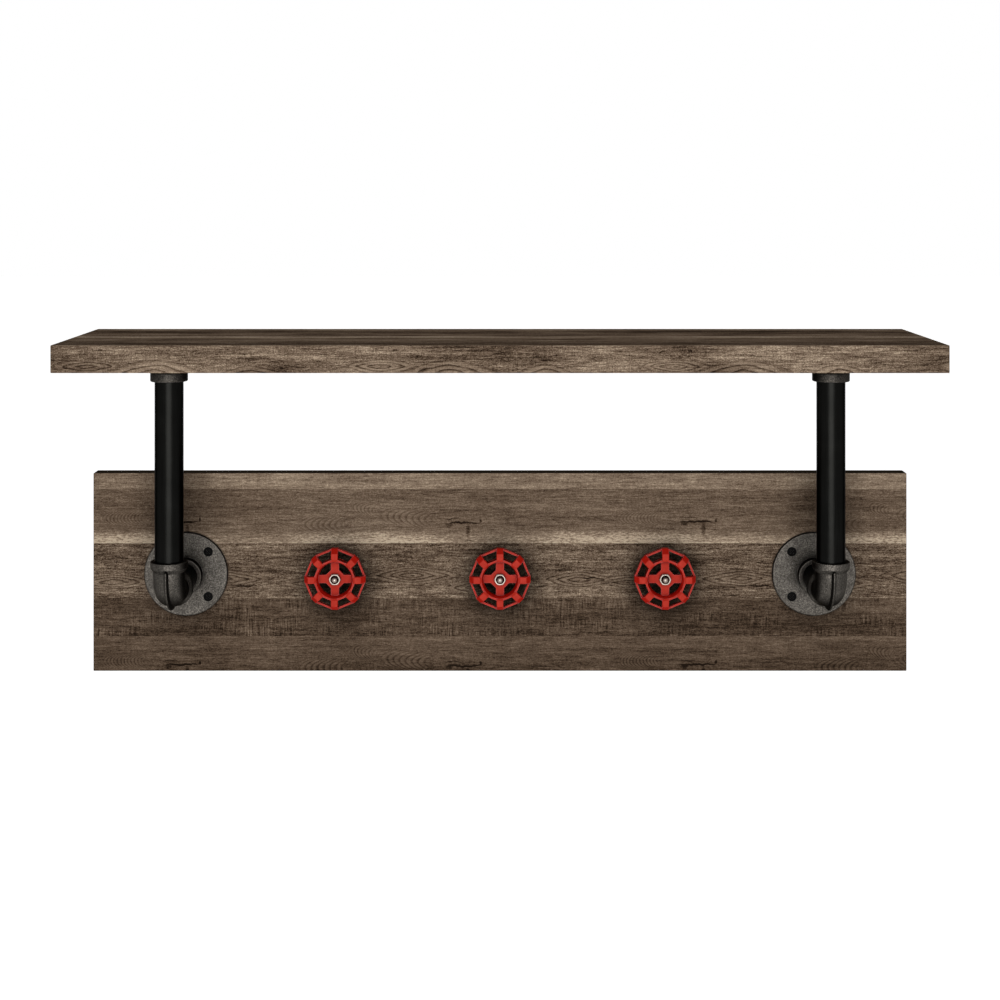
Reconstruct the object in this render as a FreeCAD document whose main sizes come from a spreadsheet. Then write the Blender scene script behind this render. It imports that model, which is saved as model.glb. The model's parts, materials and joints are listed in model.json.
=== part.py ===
import FreeCAD, Part
import math
import os
from types import SimpleNamespace

import Sketcher

# Wall shelf with hooks, in millimetres.
# The wall is the plane Y = 0, the room is towards -Y, +X is to the right and +Z is up.
# The origin is on the wall, midway between the two keyholes that the shelf hangs from.

# Driving dimensions: alias, length, what it measures
SIZES = (
    ("shelf_width", 900, "both boards, end to end"),
    ("shelf_depth", 200, "shelf, wall to front edge"),
    ("shelf_thickness", 28, "shelf"),
    ("board_height", 219, "back board, bottom to top edge"),
    ("board_thickness", 20, "back board"),
    ("shelf_gap", 130, "back board's top edge to shelf's underside"),
    ("edge_round", 1, "rounded arris of both boards"),
    ("axis_height", 108, "back board's bottom edge to the line of brackets and hooks"),
    ("fit_clearance", 0.05, "radial room round a screw, bolt or pipe in its hole"),
    ("pocket_clearance", 0.2, "room round a plate or head let into a board"),
    ("bracket_inset", 103, "end of the boards to the nearer post's axis"),
    ("post_reach", 118, "wall to post's axis"),
    ("pipe_diameter", 30, "post and nipple, outside"),
    ("pipe_wall", 3, "post and nipple"),
    ("pipe_chamfer", 0.8, "bevel on the ends of a pipe"),
    ("engagement", 13, "length of pipe screwed into a fitting"),
    ("flange_diameter", 92, "flange plate"),
    ("flange_plate", 4, "flange plate's thickness"),
    ("flange_height", 17, "board to the end of the flange's collar"),
    ("flange_neck", 36.4, "neck's diameter at the plate"),
    ("flange_bead", 39, "collar's diameter"),
    ("flange_bead_length", 10, "collar's length"),
    ("flange_circle", 70, "diameter of the circle of screw holes"),
    ("cast_round", 1.2, "rounded edges of the cast fittings"),
    ("screw_head", 10.6, "flange screw's head"),
    ("screw_shank", 4.8, "flange screw's shank"),
    ("screw_recess", 0.3, "flange screw's head below the plate's face"),
    ("screw_tip", 4, "length of the screw's point"),
    ("wall_grip", 14, "flange screw's length inside the back board"),
    ("shelf_grip", 18, "flange screw's length inside the shelf"),
    ("cross_length", 5.8, "cross recess, arm to arm"),
    ("cross_width", 1.2, "cross recess, one arm"),
    ("cross_depth", 1.5, "cross recess"),
    ("elbow_arm", 35.5, "elbow's centre to the end of an arm"),
    ("elbow_bend", 20, "bend radius of the elbow's centre line"),
    ("elbow_body", 33, "elbow's body, outside diameter"),
    ("elbow_bead", 39, "bead round an arm's end, outside diameter"),
    ("elbow_bead_length", 12.7, "bead, from the arm's end to the foot of its taper"),
    ("elbow_bead_taper", 6, "bead's tapered part, along the arm"),
    ("seam_width", 6, "foot of the seam rib on the outside of the bend"),
    ("seam_height", 4.2, "seam rib above the body"),
    ("seam_round", 1, "radius of the seam rib's crest"),
    ("seam_run", 6.4, "seam rib along each arm past the bend"),
    ("hook_spacing", 180, "one hook's axis to the next"),
    ("bolt_diameter", 6.35, "hook bolt's shank"),
    ("bolt_length", 50.8, "hook bolt, under its head to its end"),
    ("bolt_end_dome", 2.1, "height of the domed end"),
    ("bolt_head", 15, "hook bolt's round head"),
    ("bolt_head_height", 3.6, "hook bolt's round head"),
    ("bolt_square", 6.8, "square under the head"),
    ("bolt_square_length", 4, "square under the head"),
    ("head_sink", 4.6, "depth of the recess for the head in the board's back"),
    ("spacer_diameter", 14, "spacer tube, outside"),
    ("spacer_length", 18, "spacer tube"),
    ("spacer_bevel", 0.7, "bevel on the ends of the spacer tube"),
    ("wheel_play", 0.1, "end play of the wheel on each side"),
    ("wheel_bore_clearance", 0.08, "radial room of the bolt in the wheel"),
    ("hub_length", 9, "wheel's hub, back to front"),
    ("hub_flats", 20, "square hub, across flats"),
    ("boss_diameter", 16, "round boss behind the hub"),
    ("spoke_width", 8.8, "flat spoke"),
    ("spoke_thickness", 4, "flat spoke, back from the hub's front"),
    ("rim_flats", 63.5, "octagonal rim, across flats"),
    ("rim_bar", 1.9, "rim bar, seen from the front"),
    ("rim_depth", 5.6, "rim bar, back to front"),
    ("rim_forward", 0.6, "rim's front before the hub's front"),
    ("ring_flats", 43.5, "inner ring, across flats"),
    ("ring_lip", 1.75, "inner ring's width at its front"),
    ("ring_draft", 2, "inner ring's bore, front radius less radius at the spokes"),
    ("ring_forward", 6.5, "inner ring's front before the hub's front"),
    ("rib_width", 7.5, "rib across the rim"),
    ("rib_forward", 8, "rib's crest before the hub's front"),
    ("rib_overhang", 1.55, "rib's outer end beyond the rim's flats"),
    ("rib_rise_run", 2, "inner ring's mouth to the rib's crest"),
    ("rib_fall_run", 4.6, "rib's crest to its outer end"),
    ("rib_thickness", 4, "rib, crest to underside"),
    ("rib_round", 0.8, "rounded crest of a rib"),
    ("nut_flats", 11.2, "hex nut, across flats"),
    ("nut_height", 4, "hex nut"),
    ("nut_bevel", 0.9, "width of the bevel on the nut's corners"),
    ("nut_mouth", 1.5, "bevel of the nut's hole"),
    ("hanger_spacing", 406.4, "left keyhole to right keyhole"),
    ("hanger_height", 169, "back board's bottom edge to the keyholes"),
    ("hanger_length", 48, "hanger plate, end to end"),
    ("hanger_width", 22, "hanger plate, bottom to top"),
    ("hanger_thickness", 2, "hanger plate"),
    ("keyhole_entry", 10, "round part of the keyhole"),
    ("keyhole_slot", 5.5, "slot above the round part"),
    ("keyhole_rise", 7, "round part's centre to the slot's end centre"),
    ("keyhole_drop", 3, "round part's centre below the plate's middle"),
    ("head_room_width", 13, "pocket behind the keyhole"),
    ("head_room_depth", 11, "pocket behind the keyhole, from the wall"),
    ("hanger_screw_spacing", 34, "hanger plate's screw to screw"),
    ("hanger_screw_head", 6.4, "hanger screw's head"),
    ("hanger_screw_shank", 3.4, "hanger screw's shank"),
    ("hanger_screw_length", 14, "hanger screw"),
    ("hanger_screw_tip", 4, "length of the hanger screw's point"),
)

FLANGE_SCREWS = 4
HANGER_SCREWS = 2
WHEEL_SIDES = 8
NUT_SIDES = 6
DIAGONAL = math.sqrt(0.5)
HALF_FACET = math.pi / WHEEL_SIDES
HALF_NUT_SIDE = math.pi / NUT_SIDES
NUT_BEVEL_SLOPE = math.radians(30)
RIB_OVERLAP = 0.44
TOLERANCE = 1e-4

doc = FreeCAD.newDocument("WallShelf")
sheet = doc.addObject("Spreadsheet::Sheet", "Sizes")
for row, (alias, length, meaning) in enumerate(SIZES, start=1):
    sheet.set(f"A{row}", meaning)
    sheet.set(f"B{row}", str(length))
    sheet.setAlias(f"B{row}", alias)
doc.recompute()


class Size:
    """A length as its present value and as the expression that ties it to the sheet."""

    def __init__(self, value, text):
        self.value = float(value)
        self.text = text

    def __add__(self, other):
        other = as_size(other)
        return Size(self.value + other.value, f"({self.text} + {other.text})")

    def __sub__(self, other):
        other = as_size(other)
        return Size(self.value - other.value, f"({self.text} - {other.text})")

    def __mul__(self, factor):
        return Size(self.value * factor, f"({self.text} * {factor})")

    def __truediv__(self, divisor):
        return Size(self.value / divisor, f"({self.text} / {divisor})")

    def __neg__(self):
        return Size(-self.value, f"(0 - {self.text})")


def as_size(length):
    return length if isinstance(length, Size) else Size(length, f"({float(length)})")


S = SimpleNamespace(**{alias: Size(getattr(sheet, alias), f"Sizes.{alias}") for alias, _, _ in SIZES})
ZERO = as_size(0)

# Lines and levels that several pieces share
axis_z = S.axis_height - S.hanger_height
board_bottom = -S.hanger_height
shelf_underside = S.board_height - S.hanger_height + S.shelf_gap
bracket_x = S.shelf_width / 2 - S.bracket_inset
board_face = -S.board_thickness
hub_back = S.spacer_length + S.wheel_play
hub_front = hub_back + S.hub_length
pipe_radius = S.pipe_diameter / 2
socket_radius = pipe_radius + S.fit_clearance
pipe_bore = pipe_radius - S.pipe_wall
bolt_radius = S.bolt_diameter / 2
keyhole_level = -S.keyhole_drop
plate_middle = S.hanger_height + S.keyhole_drop

SIDES = (("left", -1), ("right", 1))
HOOKS = (("left", -1), ("middle", 0), ("right", 1))
QUADRANTS = ((1, 1), (-1, 1), (-1, -1), (1, -1))

UPRIGHT = FreeCAD.Rotation()
INTO_ROOM = FreeCAD.Rotation(FreeCAD.Vector(1, 0, 0), 90)
DOWNWARD = FreeCAD.Rotation(FreeCAD.Vector(1, 0, 0), 180)
EIGHTH_TURN = FreeCAD.Rotation(FreeCAD.Vector(0, 0, 1), 45)


# Sketching and feature helpers

def new_body(label):
    body = doc.addObject("PartDesign::Body", label)
    body.Label = label
    return body


def place(body, x, y, z, rotation=UPRIGHT):
    """Turns a body and ties its place to the sheet."""
    body.Placement = FreeCAD.Placement(FreeCAD.Vector(), rotation)
    for axis, length in zip("xyz", (x, y, z)):
        body.setExpression(f"Placement.Base.{axis}", as_size(length).text)


def origin_feature(body, role):
    return next(feature for feature in body.Origin.OriginFeatures if feature.Role == role)


def new_sketch(body, name, role="XY_Plane", offset=ZERO):
    """A sketch on one of the body's own planes, moved along that plane's normal."""
    sketch = body.newObject("Sketcher::SketchObject", name)
    sketch.AttachmentSupport = [(origin_feature(body, role), "")]
    sketch.MapMode = "FlatFace"
    sketch.setExpression("AttachmentOffset.Base.z", offset.text)
    return sketch


def tie(sketch, constraint, length):
    index = sketch.addConstraint(constraint)
    sketch.setExpression(f"Constraints[{index}]", length.text)


def hold(sketch, geometry, point, x, y):
    """Holds a point by its distances from the sketch's origin."""
    tie(sketch, Sketcher.Constraint("DistanceX", -1, 1, geometry, point, x.value), x)
    tie(sketch, Sketcher.Constraint("DistanceY", -1, 1, geometry, point, y.value), y)


def vector(x, y):
    return FreeCAD.Vector(x.value, y.value, 0)


def draw_arc(sketch, start, end, centre, turn):
    """An arc about centre, turn 1 anticlockwise or -1 clockwise; gives its start and end points."""
    first, last = (start, end) if turn > 0 else (end, start)
    first_ray = vector(*first) - vector(*centre)
    last_ray = vector(*last) - vector(*centre)
    circle = Part.Circle(vector(*centre), FreeCAD.Vector(0, 0, 1), first_ray.Length)
    first_angle = math.atan2(first_ray.y, first_ray.x)
    last_angle = math.atan2(last_ray.y, last_ray.x)
    geometry = sketch.addGeometry(Part.ArcOfCircle(circle, first_angle, last_angle))
    chord = vector(*end) - vector(*start)
    if abs(chord.x) > abs(chord.y):
        tie(sketch, Sketcher.Constraint("DistanceY", -1, 1, geometry, 3, centre[1].value), centre[1])
    else:
        tie(sketch, Sketcher.Constraint("DistanceX", -1, 1, geometry, 3, centre[0].value), centre[0])
    return (geometry, 1, 2) if turn > 0 else (geometry, 2, 1)


def draw_chain(sketch, points, closed=True):
    """Joins points by lines, or by an arc where a point is followed by (centre, turn)."""
    corners = [tuple(as_size(length) for length in point[:2]) for point in points]
    ends = corners[1:] + corners[:1]
    count = len(points) if closed else len(points) - 1
    pieces = []
    for point, start, end in list(zip(points, corners, ends))[:count]:
        if len(point) > 2:
            centre = tuple(as_size(length) for length in point[2])
            pieces.append(draw_arc(sketch, start, end, centre, point[3]))
        else:
            pieces.append((sketch.addGeometry(Part.LineSegment(vector(*start), vector(*end))), 1, 2))
    for (geometry, first, _), start in zip(pieces, corners):
        hold(sketch, geometry, first, *start)
    followers = pieces[1:] + (pieces[:1] if closed else [])
    for (geometry, _, last), (follower, first, _) in zip(pieces, followers):
        sketch.addConstraint(Sketcher.Constraint("Coincident", geometry, last, follower, first))
    if not closed:
        geometry, _, last = pieces[-1]
        hold(sketch, geometry, last, *corners[-1])


def draw_circle(sketch, x, y, radius):
    x, y = as_size(x), as_size(y)
    circle = Part.Circle(vector(x, y), FreeCAD.Vector(0, 0, 1), radius.value)
    geometry = sketch.addGeometry(circle)
    hold(sketch, geometry, 3, x, y)
    tie(sketch, Sketcher.Constraint("Radius", geometry, radius.value), radius)


def draw_rectangle(sketch, left, bottom, right, top):
    draw_chain(sketch, ((left, bottom), (right, bottom), (right, top), (left, top)))


def draw_octagon(sketch, flats):
    """A regular octagon with its corners on the axes, across flats."""
    corner = flats / (2 * math.cos(HALF_FACET))
    turns = [step * 2 * HALF_FACET for step in range(WHEEL_SIDES)]
    draw_chain(sketch, [(corner * math.cos(turn), corner * math.sin(turn)) for turn in turns])


def along_facet(apothem, tangent):
    """A point on the octagon side that faces half a facet up from the X axis."""
    cosine, sine = math.cos(HALF_FACET), math.sin(HALF_FACET)
    return apothem * cosine - tangent * sine, apothem * sine + tangent * cosine


def draw_obround(sketch, x, y, length, width):
    """A rectangle with half-round ends, lying along the sketch's X axis."""
    x, y = as_size(x), as_size(y)
    end = width / 2
    run = (length - width) / 2
    draw_chain(sketch, (
        (x - run, y - end),
        (x + run, y - end, (x + run, y), 1),
        (x + run, y + end),
        (x - run, y + end, (x - run, y), 1),
    ))


def add_axis(sketch, x):
    """A construction line along the sketch's Y axis, at x, to turn a profile about."""
    low, high = (x, as_size(-1)), (x, as_size(1))
    geometry = sketch.addGeometry(Part.LineSegment(vector(*low), vector(*high)), True)
    hold(sketch, geometry, 1, *low)
    hold(sketch, geometry, 2, *high)


def finish_feature(body, feature):
    body.Tip = feature
    doc.recompute()
    return feature


def pad(body, sketch, length, symmetric=False, reverse=False):
    feature = body.newObject("PartDesign::Pad", f"{sketch.Name}_pad")
    feature.Profile = sketch
    feature.setExpression("Length", length.text)
    feature.SideType = "Symmetric" if symmetric else "One side"
    feature.Reversed = reverse
    return finish_feature(body, feature)


def pocket(body, sketch, depth, reverse=False):
    """Cuts against the sketch's normal, or along it when reversed, and must take material away."""
    before = body.Shape.Volume
    feature = body.newObject("PartDesign::Pocket", f"{sketch.Name}_pocket")
    feature.Profile = sketch
    feature.setExpression("Length", depth.text)
    feature.Reversed = reverse
    finish_feature(body, feature)
    if body.Shape.Volume >= before:
        raise RuntimeError(f"{feature.Name} cuts nothing")
    return feature


def revolve(body, sketch, axis="V_Axis"):
    feature = body.newObject("PartDesign::Revolution", f"{sketch.Name}_turned")
    feature.Profile = sketch
    feature.ReferenceAxis = (sketch, [axis])
    feature.Angle = 360
    return finish_feature(body, feature)


def groove(body, sketch, axis="V_Axis"):
    before = body.Shape.Volume
    feature = body.newObject("PartDesign::Groove", f"{sketch.Name}_groove")
    feature.Profile = sketch
    feature.ReferenceAxis = (sketch, [axis])
    feature.Angle = 360
    finish_feature(body, feature)
    if body.Shape.Volume >= before:
        raise RuntimeError(f"{feature.Name} cuts nothing")
    return feature


def repeat_round(body, originals, count):
    """Repeats features evenly about the body's Z axis."""
    feature = body.newObject("PartDesign::PolarPattern", f"{originals[0].Name}_round")
    feature.Originals = originals
    feature.Axis = (origin_feature(body, "Z_Axis"), [""])
    feature.Angle = 360
    feature.Occurrences = count
    return finish_feature(body, feature)


def dress(body, kind, name, size, chosen):
    """A Fillet or Chamfer on the edges that a test picks."""
    base = body.Tip
    edges = [f"Edge{number}" for number, edge in enumerate(base.Shape.Edges, 1) if chosen(edge)]
    feature = body.newObject(f"PartDesign::{kind}", name)
    feature.Base = (base, edges)
    feature.setExpression("Radius" if kind == "Fillet" else "Size", size.text)
    return finish_feature(body, feature)


def near(first, second):
    return abs(first - second) < TOLERANCE


def is_circle(edge, radius, z=None):
    """True for a full circle of that radius about the Z axis, at height z if one is given."""
    if not isinstance(edge.Curve, Part.Circle) or not near(edge.Curve.Radius, radius.value):
        return False
    return z is None or near(edge.Curve.Center.z, z.value)


def is_outer_edge(shape):
    """Picks the straight edges of a board that lie on its outer box."""
    box = shape.BoundBox

    def chosen(edge):
        if not isinstance(edge.Curve, Part.Line):
            return False
        middle = edge.valueAt((edge.FirstParameter + edge.LastParameter) / 2)
        on_faces = (
            near(middle.x, box.XMin) or near(middle.x, box.XMax),
            near(middle.y, box.YMin) or near(middle.y, box.YMax),
            near(middle.z, box.ZMin) or near(middle.z, box.ZMax),
        )
        return sum(on_faces) >= 2

    return chosen


def screw_places(centre_x, centre_y):
    """The four screws of a flange, on the diagonals of its hole circle."""
    offset = S.flange_circle / 2 * DIAGONAL
    return [(centre_x + offset * right, centre_y + offset * up) for right, up in QUADRANTS]


# Boards

def make_shelf_board():
    body = new_body("shelf_board")
    panel = new_sketch(body, "shelf_panel")
    draw_rectangle(panel, -S.shelf_width / 2, -S.shelf_depth, S.shelf_width / 2, ZERO)
    pad(body, panel, S.shelf_thickness)
    dress(body, "Fillet", "shelf_arris", S.edge_round, is_outer_edge(body.Shape))
    pilots = new_sketch(body, "shelf_pilots")
    for _, side in SIDES:
        for x, y in screw_places(bracket_x * side, -S.post_reach):
            draw_circle(pilots, x, y, S.screw_shank / 2 + S.fit_clearance)
    pocket(body, pilots, S.shelf_grip + S.pocket_clearance, reverse=True)
    place(body, ZERO, ZERO, shelf_underside)
    return body


def make_back_board():
    body = new_body("back_board")
    panel = new_sketch(body, "board_panel", "XZ_Plane")
    draw_rectangle(panel, -S.shelf_width / 2, ZERO, S.shelf_width / 2, S.board_height)
    pad(body, panel, S.board_thickness)
    dress(body, "Fillet", "board_arris", S.edge_round, is_outer_edge(body.Shape))

    pilots = new_sketch(body, "board_pilots", "XZ_Plane", S.board_thickness)
    for _, side in SIDES:
        for x, z in screw_places(bracket_x * side, S.axis_height):
            draw_circle(pilots, x, z, S.screw_shank / 2 + S.fit_clearance)
    pocket(body, pilots, S.wall_grip + S.pocket_clearance)

    bolt_holes = new_sketch(body, "bolt_holes", "XZ_Plane")
    squares = new_sketch(body, "bolt_squares", "XZ_Plane")
    heads = new_sketch(body, "bolt_heads", "XZ_Plane")
    half_square = S.bolt_square / 2 + S.fit_clearance
    for _, side in HOOKS:
        x = S.hook_spacing * side
        draw_circle(bolt_holes, x, S.axis_height, bolt_radius + S.fit_clearance)
        draw_rectangle(squares, x - half_square, S.axis_height - half_square,
                       x + half_square, S.axis_height + half_square)
        draw_circle(heads, x, S.axis_height, S.bolt_head / 2 + S.pocket_clearance)
    pocket(body, bolt_holes, S.board_thickness, reverse=True)
    pocket(body, squares, S.head_sink + S.bolt_square_length + S.fit_clearance, reverse=True)
    pocket(body, heads, S.head_sink, reverse=True)

    recesses = new_sketch(body, "hanger_recesses", "XZ_Plane")
    head_rooms = new_sketch(body, "head_rooms", "XZ_Plane")
    hanger_pilots = new_sketch(body, "hanger_pilots", "XZ_Plane")
    half_room = S.head_room_width / 2
    for _, side in SIDES:
        x = S.hanger_spacing / 2 * side
        draw_obround(recesses, x, plate_middle, S.hanger_length + S.pocket_clearance * 2,
                     S.hanger_width + S.pocket_clearance * 2)
        slot_end = S.hanger_height + S.keyhole_rise
        draw_chain(head_rooms, (
            (x + half_room, S.hanger_height),
            (x + half_room, slot_end, (x, slot_end), 1),
            (x - half_room, slot_end),
            (x - half_room, S.hanger_height, (x, S.hanger_height), 1),
        ))
        for end in (-1, 1):
            draw_circle(hanger_pilots, x + S.hanger_screw_spacing / 2 * end, plate_middle,
                        S.hanger_screw_shank / 2 + S.fit_clearance)
    pocket(body, recesses, S.hanger_thickness, reverse=True)
    pocket(body, head_rooms, S.head_room_depth, reverse=True)
    pocket(body, hanger_pilots, S.hanger_screw_length + S.pocket_clearance, reverse=True)
    place(body, ZERO, ZERO, board_bottom)
    return body


# Pipe brackets

def make_flange(label):
    """A cast floor flange that stands on its plate, collar up, with four countersunk holes."""
    body = new_body(label)
    collar_start = S.flange_height - S.flange_bead_length
    profile = new_sketch(body, f"{label}_profile", "XZ_Plane")
    draw_chain(profile, (
        (socket_radius, ZERO),
        (S.flange_diameter / 2, ZERO),
        (S.flange_diameter / 2, S.flange_plate),
        (S.flange_neck / 2, S.flange_plate),
        (S.flange_neck / 2, collar_start),
        (S.flange_bead / 2, collar_start),
        (S.flange_bead / 2, S.flange_height),
        (socket_radius, S.flange_height),
    ))
    revolve(body, profile)
    rounded = (
        (S.flange_diameter / 2, S.flange_plate),
        (S.flange_neck / 2, S.flange_plate),
        (S.flange_bead / 2, collar_start),
        (S.flange_bead / 2, S.flange_height),
    )
    dress(body, "Fillet", f"{label}_rounds", S.cast_round,
          lambda edge: any(is_circle(edge, radius, z) for radius, z in rounded))
    holes = new_sketch(body, f"{label}_holes", "XZ_Plane")
    centre = S.flange_circle / 2
    shank = S.screw_shank / 2 + S.fit_clearance
    head = S.screw_head / 2 + S.fit_clearance
    mouth = S.flange_plate - S.screw_recess
    add_axis(holes, centre)
    draw_chain(holes, (
        (centre, -S.pocket_clearance),
        (centre + shank, -S.pocket_clearance),
        (centre + shank, mouth - head + shank),
        (centre + head, mouth),
        (centre + head, S.flange_plate + S.pocket_clearance),
        (centre, S.flange_plate + S.pocket_clearance),
    ))
    hole = groove(body, holes, "Axis0")
    repeat_round(body, [hole], FLANGE_SCREWS)
    return body


def make_flange_screws(label, grip):
    """The four countersunk screws of a flange, in the flange's own frame."""
    body = new_body(label)
    body.AllowCompound = True
    centre = S.flange_circle / 2
    shank = S.screw_shank / 2
    head = S.screw_head / 2
    top = S.flange_plate - S.screw_recess
    profile = new_sketch(body, f"{label}_profile", "XZ_Plane")
    add_axis(profile, centre)
    draw_chain(profile, (
        (centre, top),
        (centre, -grip),
        (centre + shank, S.screw_tip - grip),
        (centre + shank, top - head + shank),
        (centre + head, top),
    ))
    screw = revolve(body, profile, "Axis0")
    cross = new_sketch(body, f"{label}_cross", offset=top)
    draw_cross(cross, centre, S.cross_length / 2, S.cross_width / 2)
    recess = pocket(body, cross, S.cross_depth)
    repeat_round(body, [screw, recess], FLANGE_SCREWS)
    return body


def draw_cross(sketch, x, reach, half_width):
    """The outline of a cross recess centred at x."""
    draw_chain(sketch, (
        (x + reach, -half_width), (x + reach, half_width), (x + half_width, half_width),
        (x + half_width, reach), (x - half_width, reach), (x - half_width, half_width),
        (x - reach, half_width), (x - reach, -half_width), (x - half_width, -half_width),
        (x - half_width, -reach), (x + half_width, -reach), (x + half_width, -half_width),
    ))


def make_pipe(label, length):
    """A straight pipe along Z, bevelled at its ends."""
    body = new_body(label)
    section = new_sketch(body, f"{label}_section")
    draw_circle(section, ZERO, ZERO, pipe_radius)
    draw_circle(section, ZERO, ZERO, pipe_bore)
    pad(body, section, length)
    dress(body, "Chamfer", f"{label}_bevel", S.pipe_chamfer, lambda edge: is_circle(edge, pipe_radius))
    return body


def make_elbow(label):
    """A cast elbow with one arm along +Z and the other along +Y, beaded ends and a seam rib."""
    body = new_body(label)

    def centre_line(name, arm):
        """The line from the end of one arm round the bend to the end of the other."""
        line = new_sketch(body, f"{label}_{name}", "YZ_Plane")
        draw_chain(line, (
            (ZERO, arm),
            (ZERO, S.elbow_bend, (S.elbow_bend, S.elbow_bend), 1),
            (S.elbow_bend, ZERO),
            (arm, ZERO),
        ), closed=False)
        return line

    def sweep(kind, section, line):
        feature = body.newObject(f"PartDesign::{kind}", f"{section.Name}_sweep")
        feature.Profile = section
        feature.Spine = (line, [f"Edge{number}" for number in range(1, line.GeometryCount + 1)])
        return finish_feature(body, feature)

    arms = centre_line("arms", S.elbow_arm)
    outside = new_sketch(body, f"{label}_outside", offset=S.elbow_arm)
    draw_circle(outside, ZERO, ZERO, S.elbow_body / 2)
    sweep("AdditivePipe", outside, arms)
    bead_start = S.elbow_arm - S.elbow_bead_length
    bead = (
        (ZERO, bead_start),
        (S.elbow_body / 2 - S.cast_round, bead_start),
        (S.elbow_bead / 2, bead_start + S.elbow_bead_taper),
        (S.elbow_bead / 2, S.elbow_arm),
        (ZERO, S.elbow_arm),
    )
    upper_bead = new_sketch(body, f"{label}_bead_up", "YZ_Plane")
    draw_chain(upper_bead, bead)
    revolve(body, upper_bead)
    rear_bead = new_sketch(body, f"{label}_bead_back", "YZ_Plane")
    draw_chain(rear_bead, [(along, out) for out, along in bead])
    revolve(body, rear_bead, "H_Axis")
    dress(body, "Fillet", f"{label}_rounds", S.cast_round, lambda edge: is_circle(edge, S.elbow_bead / 2))

    seam_arm = S.elbow_bend + S.seam_run
    foot = S.elbow_body / 2 - S.cast_round
    crest_centre = S.elbow_body / 2 + S.seam_height - S.seam_round
    seam = new_sketch(body, f"{label}_seam", offset=seam_arm)
    draw_chain(seam, (
        (-S.seam_width / 2, -foot),
        (-S.seam_round, -crest_centre, (ZERO, -crest_centre), 1),
        (S.seam_round, -crest_centre),
        (S.seam_width / 2, -foot),
    ))
    sweep("AdditivePipe", seam, centre_line("seam_line", seam_arm))

    passage = new_sketch(body, f"{label}_passage", offset=S.elbow_arm)
    draw_circle(passage, ZERO, ZERO, pipe_bore)
    sweep("SubtractivePipe", passage, arms)
    upper_socket = new_sketch(body, f"{label}_socket_up", offset=S.elbow_arm)
    rear_socket = new_sketch(body, f"{label}_socket_back", "XZ_Plane", -S.elbow_arm)
    for socket in (upper_socket, rear_socket):
        draw_circle(socket, ZERO, ZERO, socket_radius)
    pocket(body, upper_socket, S.engagement)
    pocket(body, rear_socket, S.engagement, reverse=True)
    return body


def make_bracket(side, sign):
    """One pipe bracket, from the back board out and up to the shelf."""
    x = bracket_x * sign
    nipple_start = -(S.board_thickness + S.flange_height - S.engagement)
    nipple_end = -(S.post_reach - S.elbow_arm + S.engagement)
    post_start = axis_z + S.elbow_arm - S.engagement
    post_end = shelf_underside - S.flange_height + S.engagement

    wall_flange = make_flange(f"{side}_wall_flange")
    wall_screws = make_flange_screws(f"{side}_wall_flange_screws", S.wall_grip)
    for body in (wall_flange, wall_screws):
        place(body, x, board_face, axis_z, INTO_ROOM * EIGHTH_TURN)

    nipple = make_pipe(f"{side}_nipple", nipple_start - nipple_end)
    place(nipple, x, nipple_start, axis_z, INTO_ROOM)
    elbow = make_elbow(f"{side}_elbow")
    place(elbow, x, -S.post_reach, axis_z)
    post = make_pipe(f"{side}_post", post_end - post_start)
    place(post, x, -S.post_reach, post_start)

    shelf_flange = make_flange(f"{side}_shelf_flange")
    shelf_screws = make_flange_screws(f"{side}_shelf_flange_screws", S.shelf_grip)
    for body in (shelf_flange, shelf_screws):
        place(body, x, -S.post_reach, shelf_underside, DOWNWARD * EIGHTH_TURN)
    return [wall_flange, wall_screws, nipple, elbow, post, shelf_flange, shelf_screws]


# Hooks

def make_hook_bolt(label):
    """A round-headed bolt with a square neck, head at the back and a domed end in front."""
    body = new_body(label)
    head_radius = S.bolt_head / 2
    head_ball = ball_radius(head_radius, S.bolt_head_height)
    end_ball = ball_radius(bolt_radius, S.bolt_end_dome)
    dome_start = S.bolt_length - S.bolt_end_dome
    profile = new_sketch(body, f"{label}_profile", "XZ_Plane")
    draw_chain(profile, (
        (ZERO, -S.bolt_head_height, (ZERO, head_ball - S.bolt_head_height), 1),
        (head_radius, ZERO),
        (bolt_radius, ZERO),
        (bolt_radius, dome_start, (ZERO, S.bolt_length - end_ball), 1),
        (ZERO, S.bolt_length),
    ))
    revolve(body, profile)
    square = new_sketch(body, f"{label}_square")
    half = S.bolt_square / 2
    draw_rectangle(square, -half, -half, half, half)
    pad(body, square, S.bolt_square_length)
    return body


def ball_radius(rim, height):
    """The radius of a ball whose cap has that rim radius and height."""
    value = (rim.value ** 2 + height.value ** 2) / (2 * height.value)
    return Size(value, f"(({rim.text} ^ 2 + {height.text} ^ 2) / (2 * {height.text}))")


def make_spacer(label):
    body = new_body(label)
    section = new_sketch(body, f"{label}_section")
    draw_circle(section, ZERO, ZERO, S.spacer_diameter / 2)
    draw_circle(section, ZERO, ZERO, bolt_radius + S.fit_clearance)
    pad(body, section, S.spacer_length)
    dress(body, "Chamfer", f"{label}_bevel", S.spacer_bevel,
          lambda edge: is_circle(edge, S.spacer_diameter / 2))
    return body


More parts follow.
